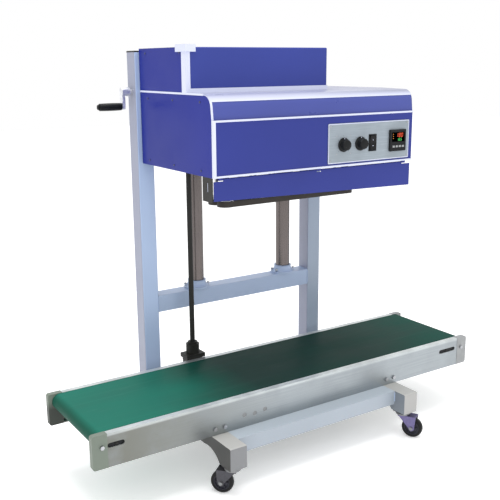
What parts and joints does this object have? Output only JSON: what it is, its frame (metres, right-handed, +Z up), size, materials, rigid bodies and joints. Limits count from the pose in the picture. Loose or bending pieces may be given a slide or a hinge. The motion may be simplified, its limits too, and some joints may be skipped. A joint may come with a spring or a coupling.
{
  "type": "continuous band sealer",
  "caption": "Wheeled continuous band sealer: belt conveyor below a height-adjustable sealing head carried on round posts between two square columns, raised by a hand crank.",
  "frame": {"origin": "floor level under the centre of the machine's bounding box", "axes": "+X along the conveyor towards the outfeed, -Y towards the operator, +Z up"},
  "size_m": [1.55, 0.7024, 1.372],
  "materials": {
    "blue_paint": "semi-gloss powder coat",
    "grey_paint": "semi-gloss powder coat",
    "foot_paint": "satin powder coat, a darker grey than the columns",
    "rail_metal": "extruded, satin anodised",
    "cap_grey": "moulded",
    "belt_green": "smooth PVC conveyor belt",
    "post_steel": "dark hard chrome",
    "bright_steel": "machined",
    "bolt_zinc": "zinc plated",
    "black_paint": "satin",
    "black_plastic": "moulded",
    "white_trim": "gloss",
    "silver_plate": "satin anodised",
    "bronze": "cast bronze",
    "band_tan": "PTFE-coated cloth",
    "block_alu": "milled",
    "wheel_rubber": "rubber tread",
    "fork_zinc": "zinc plated pressing"
  },
  "bodies": {
    "stand": {"feet": "foot_paint", "base_beams": "grey_paint", "columns": "grey_paint", "column_caps": "black_plastic", "mid_crossbar": "grey_paint", "upper_crossbar": "grey_paint", "post_sockets": "grey_paint", "guide_posts": "post_steel", "lift_gearbox": "black_paint", "rail_front": "rail_metal", "rail_rear": "rail_metal", "rail_end_caps": "cap_grey", "slider_bed": "bright_steel", "conveyor_belt": "belt_green", "conveyor_gearbox": "black_paint", "frame_bolts": "bolt_zinc", "caster_plates": "fork_zinc"},
    "head": {"head_side_left": "blue_paint", "head_side_right": "blue_paint", "hood_cover": "blue_paint", "upper_cover": "blue_paint", "rear_cover": "blue_paint", "trim_strips": "white_trim", "front_panel": "blue_paint", "control_plate": "silver_plate", "temperature_controller": "black_plastic", "head_base_plate": "bright_steel", "infeed_guide": "black_paint", "slide_blocks": "black_paint", "lift_nut": "bronze", "drive_motor": "grey_paint", "sealing_bands": "band_tan", "heater_blocks": "bright_steel", "cooling_blocks": "block_alu"},
    "crank": {"crank": "bright_steel"},
    "crank_grip": {"crank_grip": "black_plastic"},
    "lift_screw": {"lift_screw": "bright_steel"},
    "end_roller_left": {"end_roller_left": "bright_steel"},
    "end_roller_right": {"end_roller_right": "bright_steel"},
    "snub_roller_left": {"snub_roller_left": "bright_steel"},
    "snub_roller_right": {"snub_roller_right": "bright_steel"},
    "drive_drum": {"drive_drum": "bright_steel"},
    "drive_shaft": {"drive_shaft": "black_paint"},
    "drive_hub": {"drive_hub": "bright_steel"},
    "front_guard": {"front_guard": "blue_paint"},
    "speed_knob": {"speed_knob": "black_plastic"},
    "selector_knob": {"selector_knob": "black_plastic"},
    "rocker_switch": {"rocker_switch": "black_plastic"},
    "band_wheel_front_left": {"band_wheel_front_left": "bright_steel"},
    "band_wheel_front_right": {"band_wheel_front_right": "bright_steel"},
    "band_wheel_rear_left": {"band_wheel_rear_left": "bright_steel"},
    "band_wheel_rear_right": {"band_wheel_rear_right": "bright_steel"},
    "caster_fork_front_left": {"caster_fork_front_left": "fork_zinc"},
    "caster_wheel_front_left": {"caster_wheel_front_left": "wheel_rubber"},
    "caster_fork_front_right": {"caster_fork_front_right": "fork_zinc"},
    "caster_wheel_front_right": {"caster_wheel_front_right": "wheel_rubber"},
    "caster_fork_rear_left": {"caster_fork_rear_left": "fork_zinc"},
    "caster_wheel_rear_left": {"caster_wheel_rear_left": "wheel_rubber"},
    "caster_fork_rear_right": {"caster_fork_rear_right": "fork_zinc"},
    "caster_wheel_rear_right": {"caster_wheel_rear_right": "wheel_rubber"}
  },
  "joints": [
    {"name": "head_lift", "type": "slide", "parent": "stand", "child": "head", "axis": [0, 0, 1], "range_m": [-0.2, 0]},
    {"name": "crank_turn", "type": "hinge", "parent": "stand", "child": "crank", "pos_m": [-0.407, 0.279, 1.225], "axis": [1, 0, 0], "range_deg": [-3600, 0]},
    {"name": "lift_screw_turn", "type": "hinge", "parent": "stand", "child": "lift_screw", "pos_m": [0.051, 0.279, 1.1], "axis": [0, 0, 1], "range_deg": [0, 3600]},
    {"name": "crank_grip_spin", "type": "hinge", "parent": "crank", "child": "crank_grip", "pos_m": [-0.456, 0.279, 1.177], "axis": [1, 0, 0], "continuous": true},
    {"name": "drum_spin", "type": "hinge", "parent": "stand", "child": "drive_drum", "pos_m": [-0.214, -0.02, 0.208], "axis": [0, 1, 0], "continuous": true},
    {"name": "end_roller_left_spin", "type": "hinge", "parent": "stand", "child": "end_roller_left", "pos_m": [-0.737, -0.02, 0.25], "axis": [0, 1, 0], "continuous": true},
    {"name": "end_roller_right_spin", "type": "hinge", "parent": "stand", "child": "end_roller_right", "pos_m": [0.737, -0.02, 0.25], "axis": [0, 1, 0], "continuous": true},
    {"name": "snub_roller_left_spin", "type": "hinge", "parent": "stand", "child": "snub_roller_left", "pos_m": [-0.254, -0.02, 0.212], "axis": [0, 1, 0], "continuous": true},
    {"name": "snub_roller_right_spin", "type": "hinge", "parent": "stand", "child": "snub_roller_right", "pos_m": [-0.174, -0.02, 0.212], "axis": [0, 1, 0], "continuous": true},
    {"name": "drive_shaft_spin", "type": "hinge", "parent": "stand", "child": "drive_shaft", "pos_m": [-0.214, 0.196, 0.6], "axis": [0, 0, 1], "continuous": true},
    {"name": "drive_hub_spin", "type": "hinge", "parent": "head", "child": "drive_hub", "pos_m": [-0.214, 0.196, 1.015], "axis": [0, 0, 1], "continuous": true},
    {"name": "band_wheel_front_left_spin", "type": "hinge", "parent": "head", "child": "band_wheel_front_left", "pos_m": [-0.294, -0.1763, 0.93], "axis": [0, 0, 1], "continuous": true},
    {"name": "band_wheel_front_right_spin", "type": "hinge", "parent": "head", "child": "band_wheel_front_right", "pos_m": [0.172, -0.1763, 0.93], "axis": [0, 0, 1], "continuous": true},
    {"name": "band_wheel_rear_left_spin", "type": "hinge", "parent": "head", "child": "band_wheel_rear_left", "pos_m": [-0.294, -0.1237, 0.93], "axis": [0, 0, 1], "continuous": true},
    {"name": "band_wheel_rear_right_spin", "type": "hinge", "parent": "head", "child": "band_wheel_rear_right", "pos_m": [0.172, -0.1237, 0.93], "axis": [0, 0, 1], "continuous": true},
    {"name": "guard_hinge", "type": "hinge", "parent": "head", "child": "front_guard", "pos_m": [0.037, -0.208, 0.981], "axis": [-1, 0, 0], "range_deg": [0, 90]},
    {"name": "speed_knob_turn", "type": "hinge", "parent": "head", "child": "speed_knob", "pos_m": [0.128, -0.222, 1.057], "axis": [0, -1, 0], "range_deg": [-135, 135]},
    {"name": "selector_turn", "type": "hinge", "parent": "head", "child": "selector_knob", "pos_m": [0.199, -0.222, 1.057], "axis": [0, -1, 0], "range_deg": [-45, 45]},
    {"name": "rocker_tip", "type": "hinge", "parent": "head", "child": "rocker_switch", "pos_m": [0.251, -0.218, 1.057], "axis": [1, 0, 0], "range_deg": [-8, 8]},
    {"name": "caster_swivel_front_left", "type": "hinge", "parent": "stand", "child": "caster_fork_front_left", "pos_m": [-0.347, -0.285, 0.09], "axis": [0, 0, 1], "continuous": true},
    {"name": "caster_roll_front_left", "type": "hinge", "parent": "caster_fork_front_left", "child": "caster_wheel_front_left", "pos_m": [-0.3695, -0.25819, 0.0375], "axis": [-0.766, -0.6428, 0], "continuous": true},
    {"name": "caster_swivel_front_right", "type": "hinge", "parent": "stand", "child": "caster_fork_front_right", "pos_m": [0.378, -0.285, 0.09], "axis": [0, 0, 1], "continuous": true},
    {"name": "caster_roll_front_right", "type": "hinge", "parent": "caster_fork_front_right", "child": "caster_wheel_front_right", "pos_m": [0.3955, -0.31531, 0.0375], "axis": [0.866, 0.5, 0], "continuous": true},
    {"name": "caster_swivel_rear_left", "type": "hinge", "parent": "stand", "child": "caster_fork_rear_left", "pos_m": [-0.347, 0.285, 0.09], "axis": [0, 0, 1], "continuous": true},
    {"name": "caster_roll_rear_left", "type": "hinge", "parent": "caster_fork_rear_left", "child": "caster_wheel_rear_left", "pos_m": [-0.37872, 0.27021, 0.0375], "axis": [0.4226, -0.9063, 0], "continuous": true},
    {"name": "caster_swivel_rear_right", "type": "hinge", "parent": "stand", "child": "caster_fork_rear_right", "pos_m": [0.378, 0.285, 0.09], "axis": [0, 0, 1], "continuous": true},
    {"name": "caster_roll_rear_right", "type": "hinge", "parent": "caster_fork_rear_right", "child": "caster_wheel_rear_right", "pos_m": [0.39443, 0.3159, 0.0375], "axis": [-0.8829, 0.4695, 0], "continuous": true}
  ],
  "couplings": [
    {"joint": "crank_turn", "follows": "head_lift", "rad_per_m": 314.15},
    {"joint": "lift_screw_turn", "follows": "head_lift", "rad_per_m": -314.15},
    {"joint": "end_roller_left_spin", "follows": "drum_spin", "ratio": 1.08},
    {"joint": "snub_roller_left_spin", "follows": "drum_spin", "ratio": -2.0769},
    {"joint": "end_roller_right_spin", "follows": "drum_spin", "ratio": 1.08},
    {"joint": "snub_roller_right_spin", "follows": "drum_spin", "ratio": -2.0769},
    {"joint": "drive_shaft_spin", "follows": "drum_spin", "ratio": 1},
    {"joint": "drive_hub_spin", "follows": "drum_spin", "ratio": 1},
    {"joint": "band_wheel_front_left_spin", "follows": "drum_spin", "ratio": -1.0588},
    {"joint": "band_wheel_front_right_spin", "follows": "drum_spin", "ratio": -1.0588},
    {"joint": "band_wheel_rear_left_spin", "follows": "drum_spin", "ratio": 1.0588},
    {"joint": "band_wheel_rear_right_spin", "follows": "drum_spin", "ratio": 1.0588}
  ]
}
